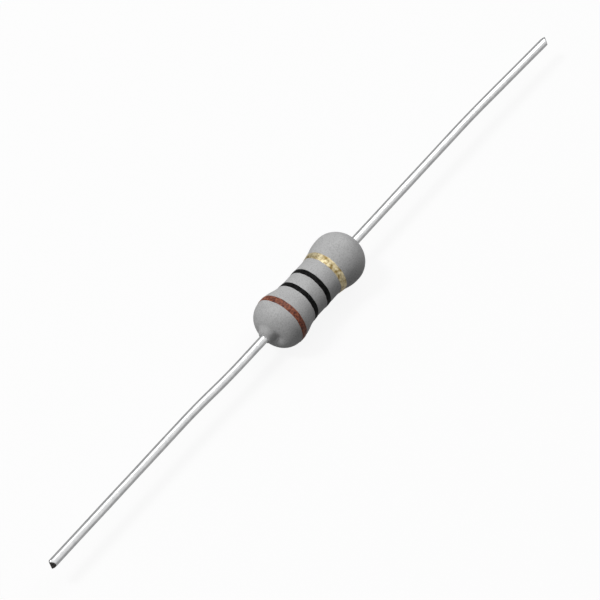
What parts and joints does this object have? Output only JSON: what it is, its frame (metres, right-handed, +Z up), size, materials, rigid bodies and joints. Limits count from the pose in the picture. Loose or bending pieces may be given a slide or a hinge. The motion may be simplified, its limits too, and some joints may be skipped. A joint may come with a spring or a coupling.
{
  "type": "axial resistor",
  "caption": "Axial through-hole film resistor: a grey dog-bone enamel body with four colour bands and two straight wire leads.",
  "frame": {"origin": "middle of the enamel body, on its axis, which is also the middle of the whole part from tip to tip", "axes": "+X runs along the body and leads from the brown band's end (left) to the gold band's end (right); +Z is up"},
  "size_m": [0.0694, 0.005, 0.005],
  "materials": {
    "grey_enamel": "matte, slightly grainy flameproof enamel",
    "tinned_copper": "bright drawn wire with a solder-dipped tin skin",
    "brown_paint": "satin paint",
    "black_paint": "satin paint",
    "gold_paint": "metallic flake paint",
    "alumina": "sintered, matte",
    "metal_oxide_film": "thin dark satin film",
    "plated_steel": "tin plated, drawn"
  },
  "bodies": {
    "root": {"coating": "grey_enamel", "left_lead": "tinned_copper", "right_lead": "tinned_copper", "brown_band": "brown_paint", "first_black_band": "black_paint", "second_black_band": "black_paint", "gold_band": "gold_paint", "ceramic_rod": "alumina", "resistive_film": "metal_oxide_film", "left_end_cap": "plated_steel", "right_end_cap": "plated_steel"}
  },
  "joints": []
}
